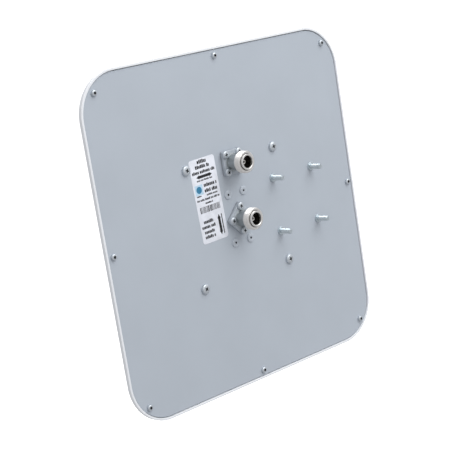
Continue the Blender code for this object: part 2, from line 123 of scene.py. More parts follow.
def make_camera():
    azimuth, elevation, distance = CAMERA_PLACE
    place = PANEL_CENTRE + distance * from_angles(azimuth, elevation)
    azimuth, elevation, roll = CAMERA_BACK
    back = from_angles(azimuth, elevation)
    right = Vector((0, 0, 1)).cross(back).normalized()
    up = back.cross(right)
    level = Matrix((right, up, back)).transposed().to_4x4()
    data = bpy.data.cameras.new("camera")
    data.lens = CAMERA_LENS
    data.shift_x, data.shift_y = CAMERA_SHIFT
    data.clip_start = CAMERA_NEAR
    camera = bpy.data.objects.new("camera", data)
    rolled = level @ Matrix.Rotation(math.radians(roll), 4, "Z")
    camera.matrix_world = Matrix.Translation(place) @ rolled
    bpy.context.scene.collection.objects.link(camera)
    bpy.context.scene.camera = camera


def area_light(name, azimuth, elevation, distance, size, watts):
    data = bpy.data.lights.new(name, "AREA")
    data.shape = "SQUARE"
    data.size = size
    data.energy = watts
    light = bpy.data.objects.new(name, data)
    back = from_angles(azimuth, elevation)
    light.location = PANEL_CENTRE + distance * back
    light.rotation_euler = back.to_track_quat("Z", "Y").to_euler()
    bpy.context.scene.collection.objects.link(light)


def make_world():
    """A pale studio, a little brighter overhead than below."""
    world = bpy.data.worlds.new("studio")
    world.use_nodes = True
    tree = world.node_tree
    direction = tree.nodes.new("ShaderNodeTexCoord").outputs["Generated"]
    split = tree.nodes.new("ShaderNodeSeparateXYZ")
    height = tree.nodes.new("ShaderNodeMapRange")
    height.inputs["From Min"].default_value = -1
    sky = tree.nodes.new("ShaderNodeValToRGB")
    for stop, (position, colour) in zip(sky.color_ramp.elements, SKY):
        stop.position = position
        stop.color = (*colour, 1)
    tree.links.new(direction, split.inputs["Vector"])
    tree.links.new(split.outputs["Z"], height.inputs["Value"])
    tree.links.new(height.outputs["Result"], sky.inputs["Fac"])
    tree.links.new(sky.outputs["Color"], tree.nodes["Background"].inputs["Color"])
    bpy.context.scene.world = world
    bpy.context.scene.view_settings.view_transform = "Standard"


def make_floor():
    """A seamless sweep: a flat floor whose rim curves up all round.

    It is hidden from diffuse and glossy rays, so that the world and the lights alone light the
    panel.
    """
    profile = [(0, 0), (FLOOR_FLAT, 0)]
    for step in range(1, FLOOR_STEPS + 1):
        turn = math.pi / 2 * step / FLOOR_STEPS
        out, up = FLOOR_RISE * math.sin(turn), FLOOR_RISE * (1 - math.cos(turn))
        profile.append((FLOOR_FLAT + out, up))
    profile.append((FLOOR_FLAT + FLOOR_RISE, 3 * FLOOR_RISE))
    mesh = lathe("sweep", profile, FLOOR_SEGMENTS)
    floor = bpy.data.objects.new("floor", mesh)
    bpy.context.scene.collection.objects.link(floor)
    floor.location = (PANEL_CENTRE.x, PANEL_CENTRE.y, CAD_BOX[0].z - FLOOR_DROP)
    paper = make_material("floor_paper", PAPER_WHITE, PAPER_ROUGHNESS)
    shader = paper.node_tree.nodes["Principled BSDF"]
    shader.inputs["Emission Color"].default_value = (1, 1, 1, 1)
    shader.inputs["Emission Strength"].default_value = PAPER_GLOW
    mesh.materials.append(paper)
    floor.visible_diffuse = False
    floor.visible_glossy = False
    floor.visible_shadow = False


def make_stage():
    make_world()
    make_floor()
    area_light("key", *KEY_LIGHT)
    area_light("front_fill", *FRONT_FILL)


# Materials

NOISE_LOW, NOISE_HIGH = 0.3, 0.7  # nearly all of a noise texture lies between them
COAT_GREY = (0.44, 0.485, 0.54)
RADOME_WHITE = (0.80, 0.82, 0.85)
SHEET_GREY = (0.80, 0.81, 0.82)
BOARD_GREEN = (0.035, 0.16, 0.06)
PLATING_DEPTH = 0.004 * MM
TURNING_MARKS = 0.12 * MM


def make_material(name, colour, roughness, metallic=0.0):
    made = bpy.data.materials.new(name)
    made.use_nodes = True
    shader = made.node_tree.nodes["Principled BSDF"]
    shader.inputs["Base Color"].default_value = (*colour, 1)
    shader.inputs["Roughness"].default_value = roughness
    shader.inputs["Metallic"].default_value = metallic
    return made


class Nodes:
    """A material's node tree, with short calls for what the finishes share."""

    def __init__(self, material):
        self.tree = material.node_tree
        self.shader = self.tree.nodes["Principled BSDF"]
        self.place = self.tree.nodes.new("ShaderNodeTexCoord").outputs["Object"]

    def link(self, source, target):
        self.tree.links.new(source, target)

    def noise(self, size, detail, stretch=(1, 1, 1)):
        """Noise whose features are about size metres across, times the stretch along each axis."""
        mapping = self.tree.nodes.new("ShaderNodeMapping")
        mapping.inputs["Scale"].default_value = [1 / (size * s) for s in stretch]
        node = self.tree.nodes.new("ShaderNodeTexNoise")
        node.inputs["Scale"].default_value = 1.0
        node.inputs["Detail"].default_value = detail
        self.link(self.place, mapping.inputs["Vector"])
        self.link(mapping.outputs["Vector"], node.inputs["Vector"])
        return node.outputs["Fac"]

    def rough(self, source, low, high):
        """Roughness from low to high with the source's noise."""
        node = self.tree.nodes.new("ShaderNodeMapRange")
        node.inputs["From Min"].default_value = NOISE_LOW
        node.inputs["From Max"].default_value = NOISE_HIGH
        node.inputs["To Min"].default_value = low
        node.inputs["To Max"].default_value = high
        self.link(source, node.inputs["Value"])
        self.link(node.outputs["Result"], self.shader.inputs["Roughness"])

    def tint(self, source, colour, low, high, start=NOISE_LOW, end=NOISE_HIGH):
        """The colour, times low to high as the source goes from start to end."""
        node = self.tree.nodes.new("ShaderNodeValToRGB")
        ramp = node.color_ramp
        ramp.elements[0].position, ramp.elements[1].position = start, end
        ramp.elements[0].color = (*scaled(colour, low), 1)
        ramp.elements[1].color = (*scaled(colour, high), 1)
        self.link(source, node.inputs["Fac"])
        self.link(node.outputs["Color"], self.shader.inputs["Base Color"])

    def bump(self, source, depth, below=None):
        """Height from the source, depth metres from low to high, on top of the bump below."""
        node = self.tree.nodes.new("ShaderNodeBump")
        node.inputs["Strength"].default_value = 1.0
        node.inputs["Distance"].default_value = depth
        self.link(source, node.inputs["Height"])
        if below is not None:
            self.link(below, node.inputs["Normal"])
        self.link(node.outputs["Normal"], self.shader.inputs["Normal"])
        return node.outputs["Normal"]


def scaled(colour, factor):
    return tuple(min(1.0, c * factor) for c in colour)


def radome_plastic():
    """Moulded white weatherproof plastic with a fine spark-eroded grain."""
    material = make_material("radome_plastic", RADOME_WHITE, 0.42)
    nodes = Nodes(material)
    nodes.tint(nodes.noise(55 * MM, 2), RADOME_WHITE, 0.99, 1.01)
    nodes.rough(nodes.noise(4 * MM, 4), 0.38, 0.48)
    nodes.bump(nodes.noise(0.35 * MM, 2), 0.012 * MM)
    return material


def powder_coat():
    """Satin light blue-grey powder coat, with its orange peel and a faint cloudiness."""
    material = make_material("powder_coat", COAT_GREY, 0.48)
    nodes = Nodes(material)
    nodes.tint(nodes.noise(45 * MM, 3), COAT_GREY, 0.975, 1.02)
    nodes.rough(nodes.noise(6 * MM, 4), 0.44, 0.54)
    peel = nodes.bump(nodes.noise(1.6 * MM, 2), 0.010 * MM)
    nodes.bump(nodes.noise(0.25 * MM, 1), 0.003 * MM, peel)
    return material


def plated(name, colour, roughness, ring=None, metallic=1.0):
    """Plating over machined metal: cloudy tint and roughness, with turning marks of size ring."""
    material = make_material(name, colour, roughness, metallic)
    nodes = Nodes(material)
    nodes.tint(nodes.noise(1.5 * MM, 3), colour, 0.90, 1.05)
    nodes.rough(nodes.noise(0.8 * MM, 4), roughness * 0.75, roughness * 1.35)
    if ring:
        marks = nodes.noise(ring, 2, stretch=(40, 40, 1))
    else:
        marks = nodes.noise(0.3 * MM, 3)
    nodes.bump(marks, PLATING_DEPTH)
    return material


def simple(name, colour, roughness, grain, depth):
    """A plain body with cloudy colour and a grain of its own size."""
    material = make_material(name, colour, roughness)
    nodes = Nodes(material)
    nodes.tint(nodes.noise(grain * 12, 3), colour, 0.9, 1.08)
    nodes.rough(nodes.noise(grain * 4, 3), roughness * 0.85, roughness * 1.15)
    nodes.bump(nodes.noise(grain, 3), depth)
    return material


def brushed_sheet():
    """Bare rolled aluminium, with its rolling marks along one side."""
    material = make_material("rolled_aluminium", SHEET_GREY, 0.35, 1.0)
    nodes = Nodes(material)
    lines = nodes.noise(0.15 * MM, 2, stretch=(120, 1, 1))
    nodes.rough(lines, 0.28, 0.45)
    nodes.tint(nodes.noise(12 * MM, 3), SHEET_GREY, 0.94, 1.03)
    nodes.bump(lines, 0.003 * MM)
    return material


def laminate():
    """Green glass-fibre board, the weave showing faintly through the resist."""
    material = make_material("laminate", BOARD_GREEN, 0.4)
    nodes = Nodes(material)
    warp = nodes.noise(0.5 * MM, 0, stretch=(8, 1, 8))
    weft = nodes.noise(0.5 * MM, 0, stretch=(1, 8, 1))
    weave = nodes.tree.nodes.new("ShaderNodeMath")
    weave.operation = "ADD"
    nodes.link(warp, weave.inputs[0])
    nodes.link(weft, weave.inputs[1])
    nodes.tint(weave.outputs[0], BOARD_GREEN, 0.85, 1.3, start=0.8, end=1.2)
    nodes.bump(weave.outputs[0], 0.01 * MM)
    return material


def make_finishes():
    return {
        "radome_plastic": radome_plastic(),
        "painted_plate": powder_coat(),
        "zinc": plated("zinc_plate", (0.61, 0.65, 0.69), 0.50),
        "stud_zinc": plated("blue_zinc_plate", (0.60, 0.67, 0.71), 0.34),
        # recess: near-black colour painted into screw recesses and standoff holes as painted shade
        "recess": plated("recess_painted_shade", (0.10, 0.105, 0.11), 0.6),
        "nickel": plated("nickel_plate", (0.79, 0.78, 0.765), 0.37, TURNING_MARKS),
        # neck: satin nickel, its colour darkened well below the barrel's as painted shade for the
        # barrel's shadow on the neck
        "neck_nickel_and_painted_shade": plated("satin_nickel_and_painted_shade", (0.42, 0.45, 0.46), 0.5),
        "flange_nickel": simple("flange_nickel", (0.41, 0.45, 0.495), 0.5, 0.3 * MM, 0.004 * MM),
        # bore: near-black colour painted deep in the socket's bore, its relief groove and the
        # contact's hole as painted shade
        "bore": plated("bore_painted_shade", (0.06, 0.053, 0.046), 0.45, TURNING_MARKS),
        "silver": plated("silver_plate", (0.92, 0.90, 0.86), 0.4, metallic=0.2),
        "ptfe": simple("ptfe", (0.82, 0.82, 0.78), 0.45, 0.4 * MM, 0.004 * MM),
        "rubber": simple("rubber", (0.27, 0.29, 0.32), 0.65, 0.3 * MM, 0.01 * MM),
        "nylon": simple("nylon", (0.74, 0.71, 0.62), 0.5, 0.4 * MM, 0.006 * MM),
        "laminate": laminate(),
        "copper": plated("copper_strip", (0.86, 0.50, 0.34), 0.32),
        "aluminium": brushed_sheet(),
        "rivet": simple("coated_rivet", (0.46, 0.505, 0.56), 0.42, 0.4 * MM, 0.004 * MM),
        "label": simple("label_film", (0.775, 0.80, 0.865), 0.32, 0.5 * MM, 0.003 * MM),
        "ink": simple("label_ink", (0.008, 0.008, 0.010), 0.42, 0.3 * MM, 0.002 * MM),
        "blue_ink": simple("label_blue_ink", (0.03, 0.20, 0.36), 0.36, 0.3 * MM, 0.002 * MM),
        "pale_ink": simple("label_pale_ink", (0.50, 0.68, 0.82), 0.34, 0.3 * MM, 0.002 * MM),
    }


# Shapes

WELD = 1e-7  # points closer than this are one
SHARP = math.radians(40)  # edges steeper than this stay sharp
LEAST_CORNER = 0.02 * MM
THREAD_CREST = 0.12  # share of a half turn of thread that is its flat crest
THREAD_FLANK = 0.66  # and its flank
HOLE_REACH = 5 * MM  # how far a drill runs past a face on each side

Thread = namedtuple("Thread", "major low high pitch depth")


def finish_mesh(shape, name):
    bmesh.ops.remove_doubles(shape, verts=shape.verts, dist=WELD)
    bmesh.ops.recalc_face_normals(shape, faces=shape.faces)
    mesh = bpy.data.meshes.new(name)
    shape.to_mesh(mesh)
    shape.free()
    mesh.shade_smooth()
    mesh.set_sharp_from_angle(angle=SHARP)
    return mesh


def filleted(corners, steps):
    """An open line through (x, y, radius) corners, each rounded by an arc of its radius."""
    points = [tuple(corners[0][:2])]
    for before, corner, after in zip(corners, corners[1:], corners[2:]):
        here, radius = Vector(corner[:2]), corner[2]
        if radius <= 0:
            points.append(tuple(here))
            continue
        back = (Vector(before[:2]) - here).normalized()
        ahead = (Vector(after[:2]) - here).normalized()
        half = back.angle(ahead) / 2
        reach = radius / math.tan(half)
        centre = here + (back + ahead).normalized() * (radius / math.sin(half))
        start, end = here + back * reach - centre, here + ahead * reach - centre
        turn = start.angle_signed(end)
        for step in range(steps + 1):
            points.append(tuple(centre + Matrix.Rotation(-turn * step / steps, 2) @ start))
    points.append(tuple(corners[-1][:2]))
    return points


def rounded_outline(half_x, half_y, radius, steps):
    """Points of a rounded rectangle, anticlockwise."""
    points = []
    for quarter, (sx, sy) in enumerate([(1, 1), (-1, 1), (-1, -1), (1, -1)]):
        centre = Vector((sx * (half_x - radius), sy * (half_y - radius)))
        for step in range(steps + 1):
            angle = (quarter + step / steps) * math.pi / 2
            points.append(centre + radius * Vector((math.cos(angle), math.sin(angle))))
    return points


def bridge(shape, rings, closed=False):
    """Faces between each ring and the next, and from the last to the first if closed."""
    pairs = list(zip(rings, rings[1:]))
    if closed:
        pairs.append((rings[-1], rings[0]))
    for upper, lower in pairs:
        for step in range(len(upper)):
            after = (step + 1) % len(upper)
            corners = [upper[step], lower[step], lower[after], upper[after]]
            unlike = [c for i, c in enumerate(corners) if c not in corners[:i]]
            if len(unlike) > 2:
                shape.faces.new(unlike)


def square_loft(name, profile, half_x, half_y, corner, steps):
    """Rounded squares at each (inset, height) of a profile, joined into one closed surface."""
    shape = bmesh.new()
    rings = []
    for inset, height in profile:
        radius = max(corner - inset, LEAST_CORNER)
        outline = rounded_outline(half_x - inset, half_y - inset, radius, steps)
        rings.append([shape.verts.new((x, y, height)) for x, y in outline])
    bridge(shape, rings)
    shape.faces.new(rings[0])
    shape.faces.new(rings[-1])
    return finish_mesh(shape, name)


def thread_depth(phase):
    """How deep a thread is at a phase of its turn: 0 on the crest, 1 at the root."""
    away = abs(phase - round(phase)) * 2
    return min(1.0, max(0.0, (away - THREAD_CREST) / THREAD_FLANK))


def lathe(name, profile, segments, closed=False, thread=None):
    """A profile of (radius, height) points turned about Z, with a thread cut at its major radius.

    The thread runs in over one pitch at its low end and half a pitch at its high end.
    """
    shape = bmesh.new()
    rings = []
    for radius, height in profile:
        if radius < WELD:
            rings.append([shape.verts.new((0, 0, height))] * segments)
            continue
        cut = 0.0
        if thread and abs(radius - thread.major) < WELD and thread.low <= height <= thread.high:
            run_in = (height - thread.low) / thread.pitch
            run_out = (thread.high - height) / (0.5 * thread.pitch)
            cut = thread.depth * min(1.0, run_in, run_out)
        ring = []
        for step in range(segments):
            angle = 2 * math.pi * step / segments
            r = radius
            if cut:
                r -= cut * thread_depth(height / thread.pitch - angle / (2 * math.pi))
            ring.append(shape.verts.new((r * math.cos(angle), r * math.sin(angle), height)))
        rings.append(ring)
    bridge(shape, rings, closed)
    return finish_mesh(shape, name)


def thread_rows(radius, high, low, step):
    """Profile points down a threaded length."""
    count = max(2, round((high - low) / step))
    return [(radius, high + (low - high) * i / count) for i in range(count + 1)]


def combined(mesh, operation, *tools):
    """A mesh after a Boolean with each tool mesh."""
    item = bpy.data.objects.new("work", mesh)
    bpy.context.scene.collection.objects.link(item)
    helpers = []
    for tool in tools:
        helper = bpy.data.objects.new("tool", tool)
        bpy.context.scene.collection.objects.link(helper)
        helpers.append(helper)
        modifier = item.modifiers.new("tool", "BOOLEAN")
        modifier.operation = operation
        modifier.solver = "EXACT"
        modifier.object = helper
    bpy.context.view_layer.update()
    evaluated = item.evaluated_get(bpy.context.evaluated_depsgraph_get())
    result = bpy.data.meshes.new_from_object(evaluated)
    result.name = mesh.name
    for helper in [item, *helpers]:
        bpy.data.objects.remove(helper, do_unlink=True)
    result.shade_smooth()
    result.set_sharp_from_angle(angle=SHARP)
    return result


def gathered(name, meshes):
    """Several meshes as one."""
    shape = bmesh.new()
    for mesh in meshes:
        shape.from_mesh(mesh)
    made = bpy.data.meshes.new(name)
    shape.to_mesh(made)
    shape.free()
    return made


def moved(mesh, x=0.0, y=0.0, z=0.0, turn=0.0):
    mesh = mesh.copy()
    mesh.transform(Matrix.Translation((x, y, z)) @ Matrix.Rotation(turn, 4, "Z"))
    return mesh


def rod(radius, low, high, segments=32):
    return lathe("rod", [(0, high), (radius, high), (radius, low), (0, low)], segments)


def block(size, height):
    """A box of the given size whose middle is at a height above the origin."""
    shape = bmesh.new()
    bmesh.ops.create_cube(shape, size=1)
    bmesh.ops.scale(shape, vec=size, verts=shape.verts)
    bmesh.ops.translate(shape, vec=(0, 0, height), verts=shape.verts)
    return finish_mesh(shape, "block")


def painted(mesh, finishes, chosen):
    """Gives a mesh several finishes: chosen picks one from a face's distance out and its height."""
    mesh.materials.clear()
    for finish in finishes:
        mesh.materials.append(FINISHES[finish])
    for face in mesh.polygons:
        out = math.hypot(face.center.x, face.center.y)
        face.material_index = chosen(out, face.center.z)
    return mesh


def piece(name, mesh, finish, slot=None, stands_for=(), x=0.0, y=0.0, turn=0.0):
    """One visual piece, in the place of the CAD nodes that it stands for."""
    item = bpy.data.objects.new(name, mesh)
    bpy.context.scene.collection.objects.link(item)
    if finish:
        mesh.materials.clear()
        mesh.materials.append(FINISHES[finish])
    place = Matrix.Translation((x, y, 0)) @ Matrix.Rotation(turn, 4, "Z")
    item.matrix_world = PANEL @ place
    if stands_for:
        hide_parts(*stands_for)
    if slot or finish:
        slot or finish
    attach(item, "root")
    return item


# Housing

RADOME_LOW, RADOME_HIGH = local_box("radome")
PANEL_HALF = (RADOME_HIGH.x - RADOME_LOW.x) / 2
PANEL_CORNER = 32 * MM
CORNER_STEPS = 24
LIP_TOP = RADOME_HIGH.z
FRONT = RADOME_LOW.z
LIP = 1.8 * MM
LIP_ROUND = 0.55 * MM  # its outer edge
LIP_EASE = 0.25 * MM  # its inner edge
LEDGE = -3.1 * MM
LEDGE_INSET = 6.2 * MM
LEDGE_EDGES = (0.3 * MM, 0.2 * MM)  # radii at its inner and outer side
FLANK_TOP = -2.1 * MM  # where the rim turns into the flank
FLANK_INSET = 0.9 * MM  # of the flank, level with the ledge
FLANK_ROUND = 2.6 * MM
SIDE_DRAFT = math.radians(42)  # the flank's angle from the panel's normal
FRONT_ROUND = 18 * MM
FACE_INSET = 60 * MM  # where the profile ends, on the flat front
WALL = 2.2 * MM

PLATE_HALF = (PLATE_HIGH.x - PLATE_LOW.x) / 2
PLATE_DEPTH = PLATE_HIGH.y - PLATE_LOW.y
PLATE_EDGE = 0.35 * MM
PLATE_EDGE_INSET = 1 * MM  # where the edge's profile begins and ends
SMALL_DRILL = 1.8 * MM
POST_DRILL = 2.3 * MM
SPIGOT_DRILL = 5.9 * MM


def make_radome():
    slope = math.tan(SIDE_DRAFT)
    outer = [
        (LIP - 0.05 * MM, LIP_TOP, 0),
        (0, LIP_TOP, LIP_ROUND),
        (0, FLANK_TOP, FLANK_ROUND),
        (FLANK_INSET + (LEDGE - FRONT) * slope, FRONT, FRONT_ROUND),
        (FACE_INSET, FRONT, 0),
    ]
    wall_run = WALL / math.cos(SIDE_DRAFT)
    foot = LEDGE - (LEDGE_INSET - FLANK_INSET - wall_run) / slope
    floor = FRONT + WALL
    inner_edge, outer_edge = LEDGE_EDGES
    inner = [
        (FACE_INSET, floor, 0),
        (LEDGE_INSET + (foot - floor) * slope, floor, FRONT_ROUND - WALL),
        (LEDGE_INSET, foot, 0),
        (LEDGE_INSET, LEDGE, inner_edge),
        (LIP, LEDGE, outer_edge),
        (LIP, LIP_TOP, LIP_EASE),
        (LIP - 0.4 * MM, LIP_TOP, 0),
    ]
    panel = (PANEL_HALF, PANEL_HALF, PANEL_CORNER, CORNER_STEPS)
    shell = square_loft("radome_shell", filleted(outer, 10)[:-1], *panel)
    mouth = (LIP - 0.6 * MM, LIP_TOP + 1 * MM)
    cavity = square_loft("cavity", [mouth, *reversed(filleted(inner, 8)[1:-1])], *panel)
    shell = combined(shell, "DIFFERENCE", cavity)
    piece("radome_cover", shell, "radome_plastic", stands_for=["radome"])


def drills(radius, nodes):
    return [moved(rod(radius, -HOLE_REACH, HOLE_REACH), *centre_of(node)) for node in nodes]


def make_plate():
    profile = [
        (PLATE_EDGE_INSET, 0, 0),
        (0, 0, PLATE_EDGE),
        (0, -PLATE_DEPTH, PLATE_EDGE),
        (PLATE_EDGE_INSET, -PLATE_DEPTH, 0),
    ]
    corner = PANEL_CORNER - (PANEL_HALF - PLATE_HALF)
    edge = filleted(profile, 4)
    plate = square_loft("back_plate", edge, PLATE_HALF, PLATE_HALF, corner, CORNER_STEPS)
    small = [
        node
        for node in frame["nodes"]
        if node.startswith(("cover_screw", "board_standoff")) or "_flange_screw" in node
    ]
    holes = drills(SMALL_DRILL, small)
    holes += drills(POST_DRILL, [f"post_screw_{number}" for number in range(1, 5)])
    holes += drills(SPIGOT_DRILL, [name + "_connector_shell" for name in CONNECTORS])
    plate = combined(plate, "DIFFERENCE", gathered("plate_holes", holes))
    piece("back_plate", plate, "painted_plate", stands_for=["reflector"])


# Fasteners

Screw = namedtuple("Screw", "radius height shank length pitch seat reach depth count")
SCREWS = {  # millimetres; reach and depth are those of the recess
    "cover_screw": Screw(2.25, 1.85, 1.25, 7.0, 0.45, 0.0, 1.15, 1.1, 8),
    "post_screw": Screw(3.5, 2.1, 2.0, 8.0, 0.7, 0.0, 1.75, 1.4, 4),
    "upper_flange_screw": Screw(2.8, 1.65, 1.5, 7.0, 0.5, 2.75, 1.55, 1.15, 4),
    "lower_flange_screw": Screw(2.8, 1.65, 1.5, 7.0, 0.5, 2.75, 1.55, 1.15, 4),
}
SCREW_SEGMENTS = 40
HEAD_FLATNESS = 4.0  # 2 is a half ellipse, and more is squarer
SEAT_SHARE = 0.97  # the seat's radius over the head's
SHANK_PLAIN = 0.6 * MM  # unthreaded length under the head
SHANK_POINT = (0.4 * MM, 0.75)  # its taper's length, and its end over the shank's radius
RECESS_SHARE = 0.7  # faces further out than this, over the head's radius, aren't in the recess
RECESS_SHADE = 0.12 * MM  # depth below the dome from which the recess is coloured with painted shade
RECESS_RISE = 0.5 * MM  # how far a recess's cutter stands out of the head
BLADE_TOP = (1.0, 0.24)  # a blade's length and width over its reach, at its top
BLADE_FOOT = (0.5, 0.16)
CROSS_MIDDLE = (0.55, 0.26)  # its round middle over its reach, at its top and its foot
CROSS_POINT = (0.95, 1.25)  # the depths where its point begins and ends, over its own
LOBES = 6
LOBE_STEPS = 48
LOBE_SWING = 0.13  # half the way in from a lobe's tip to the gap beside it, over its reach
LOBE_POINT = (0.35, 1.3)  # the radius and depth of the socket's floor, over its own

STUD_RADIUS = 2.0 * MM
STUD_PITCH = 0.7 * MM
STUD_CHAMFER = 0.4 * MM
STUD_THREAD_FOOT = 1.9 * MM
STUD_THREAD_DEPTH = 0.24 * MM
STUD_NECK = 0.93  # of its radius
STUD_FLANGE_TOP = 1.0 * MM

RIVET_HEAD = (3.25 * MM, 1.0 * MM)
RIVET_RADIUS = 1.6 * MM
RIVET_SHOULDER = 3.0 * MM
RIVET_HOLE = (0.8 * MM, 3.0 * MM)  # radius, depth
RIVET_CHAMFER = 0.12 * MM  # at the hole's mouth
RIVET_FLARE = 0.9 * MM
BOARD = (-7.9 * MM, -6.3 * MM)  # the rivet's heights at the feed board's two faces
SHELL_BACK = -1.8 * MM  # and behind the back plate


def pan_head(radius, height, steps=14):
    """The dome of a pan head, as profile points from its middle down to its seat."""
    points = []
    for step in range(steps + 1):
        t = math.pi / 2 * step / steps
        across, up = math.sin(t) ** (2 / HEAD_FLATNESS), math.cos(t) ** (2 / HEAD_FLATNESS)
        points.append((radius * across, height * up))
    return points


def cross_recess(reach, top, depth):
    """The cutter for a cross recess: two tapered blades and a point between them."""
    blades = []
    for turn in (0, math.pi / 2):
        shape = bmesh.new()
        bmesh.ops.create_cube(shape, size=2)
        for vert in shape.verts:
            upper = vert.co.z > 0
            length, width = BLADE_TOP if upper else BLADE_FOOT
            vert.co.x *= reach * length
            vert.co.y *= reach * width
            vert.co.z = top + RECESS_RISE if upper else top - depth
        blades.append(moved(finish_mesh(shape, "blade"), turn=turn))
    wide, narrow = CROSS_MIDDLE
    start, end = CROSS_POINT
    core = [
        (0, top + RECESS_RISE),
        (reach * wide, top + RECESS_RISE),
        (reach * narrow, top - depth * start),
        (0, top - depth * end),
    ]
    blades.append(lathe("core", core, 16))
    return blades


def lobed_recess(reach, top, depth):
    """The cutter for a six-lobed socket."""
    shape = bmesh.new()
    rings = []
    point, end = LOBE_POINT
    for scale, height in ((1, top + RECESS_RISE), (1, top - depth), (point, top - depth * end)):
        ring = []
        for step in range(LOBE_STEPS):
            angle = 2 * math.pi * step / LOBE_STEPS
            swing = LOBE_SWING * (math.cos(LOBES * angle) - 1)
            radius = reach * scale * (1 + swing)
            x, y = radius * math.cos(angle), radius * math.sin(angle)
            ring.append(shape.verts.new((x, y, height)))
        rings.append(ring)
    bridge(shape, rings)
    shape.faces.new(rings[0])
    shape.faces.new(rings[-1])
    return [finish_mesh(shape, "socket")]


def screw_mesh(name, radius, height, shank, length, pitch, cutters):
    """A pan-head screw whose seat is at height 0, with a threaded shank and a recess coloured with
    painted shade.
    """
    taper, point = SHANK_POINT
    rows = thread_rows(shank, -SHANK_PLAIN, -length + taper, pitch / 6)
    head = pan_head(radius, height) + [(radius * SEAT_SHARE, 0), (shank, 0)]
    profile = head + rows + [(shank * point, -length), (0, -length)]
    thread = Thread(shank, -length, -0.5 * MM, pitch, pitch * 0.5)
    mesh = lathe(name, profile, SCREW_SEGMENTS, thread=thread)
    mesh = combined(mesh, "DIFFERENCE", *cutters)

    # faces deep in the recess take the painted shade
    def chosen(out, up):
        share = min(1.0, out / radius)
        dome = height * (1 - share**HEAD_FLATNESS) ** (1 / HEAD_FLATNESS)
        return 1 if share < RECESS_SHARE and 0 < up < dome - RECESS_SHADE else 0

    return painted(mesh, ("zinc", "recess"), chosen)


def make_screws():
    turns = random.Random(4)
    for group, screw in SCREWS.items():
        radius, height, shank, length, pitch, seat, reach, depth = [s * MM for s in screw[:-1]]
        recess = lobed_recess if group == "cover_screw" else cross_recess
        cutters = recess(reach, height, depth)
        mesh = screw_mesh(group, radius, height, shank, length, pitch, cutters)
        mesh.transform(Matrix.Translation((0, 0, seat)))
        for number in range(1, screw.count + 1):
            node = f"{group}_{number}"
            x, y = centre_of(node)
            turn = turns.uniform(0, math.pi / 2)
            piece(node + "_fine", mesh, None, "zinc", [node], x, y, turn)


def make_studs():
    low, high = local_box("mounting_stud_1")
    top, radius, neck = high.z, STUD_RADIUS, STUD_RADIUS * STUD_NECK
    flange = (high.x - low.x) / 2
    head = [
        (0, top, 0),
        (radius - STUD_CHAMFER, top, 0.1 * MM),
        (radius, top - STUD_CHAMFER, 0.1 * MM),
    ]
    base = [
        (radius, STUD_THREAD_FOOT, 0),
        (neck, STUD_THREAD_FOOT - 0.2 * MM, 0.1 * MM),
        (neck, STUD_FLANGE_TOP, 0.2 * MM),
        (flange, STUD_FLANGE_TOP, 0.25 * MM),
        (flange, 0, 0),
        (0, 0, 0),
    ]
    rows = thread_rows(radius, top - 0.5 * MM, 2.0 * MM, STUD_PITCH / 10)
    thread = Thread(radius, STUD_THREAD_FOOT, top - 0.3 * MM, STUD_PITCH, STUD_THREAD_DEPTH)
    profile = filleted(head, 3)[:-1] + rows + filleted(base, 4)
    mesh = lathe("stud", profile, 48, thread=thread)
    for number in range(1, 5):
        node = f"mounting_stud_{number}"
        x, y = centre_of(node)
        piece(node + "_fine", mesh, "stud_zinc", "zinc", [node], x, y, number)


def make_standoffs():
    radius, height = RIVET_HEAD
    hole, depth = RIVET_HOLE
    front, back = BOARD
    dome = [p for p in pan_head(radius, height, 16) if p[0] > hole * 1.2]
    profile = [
        (hole, height - RIVET_CHAMFER),
        *dome,
        (radius, 0),
        (RIVET_RADIUS, 0),
        (RIVET_RADIUS, SHELL_BACK),
        (RIVET_SHOULDER, SHELL_BACK),
        (RIVET_SHOULDER, back),
        (RIVET_RADIUS, back),
        (RIVET_RADIUS, front),
        (RIVET_RADIUS + RIVET_FLARE, front),
        (RIVET_RADIUS, front - RIVET_FLARE),
        (0, front - RIVET_FLARE),
        (0, height - depth),
        (hole, height - depth),
    ]
    mesh = lathe("standoff", profile, 40, closed=True)

    # faces inside the hole take the painted shade
    def chosen(out, up):
        inside = out < hole + 0.02 * MM
        return 1 if inside and -depth < up < height - 0.15 * MM else 0

    mesh = painted(mesh, ("rivet", "recess"), chosen)
    for number in range(1, 5):
        node = f"board_standoff_{number}"
        x, y = centre_of(node)
        piece(node + "_fine", mesh, None, "aluminium", [node], x, y)


# Connectors

CONNECTORS = {"upper": 0.0, "lower": math.radians(45)}  # how far each is turned
SOCKET_TOP = local_box("upper_connector_shell")[1].z
FLANGE_HALF = 8.75 * MM
FLANGE_CORNER = 1.3 * MM
FLANGE_HOLE = 6.35 * MM  # from the axis to a screw, along each side
FLANGE_DRILL = 1.7 * MM
FLANGE_TOP = 2.7 * MM
FLANGE_EDGE = 0.5 * MM
GASKET_TOP = 0.7 * MM
GASKET_EDGE = 0.15 * MM
THREAD_RADIUS = 7.95 * MM
THREAD_START = 11.8 * MM
THREAD_PITCH = 1.058 * MM
THREAD_DEPTH = 0.5 * MM
THREAD_CHAMFER = 0.6 * MM
NECK_RADIUS = 5.8 * MM
NECK_SUNK = 0.6 * MM  # how deep and how far the neck reaches into the flange
BORE_RADIUS = 4.4 * MM
BORE_CHAMFER = 0.3 * MM
BORE_BRIGHT = 1.1 * MM  # depth of the bore's mouth left in plain nickel; deeper, the bore is coloured with painted shade
SLEEVE_RADIUS = 5.7 * MM
SHOULDER = 16.9 * MM  # front of the threaded barrel
RELIEF = (0.42 * MM, 0.7 * MM)  # width and depth of the groove at the sleeve's foot
SPIGOT = (5.3 * MM, -1.2 * MM)  # radius, end
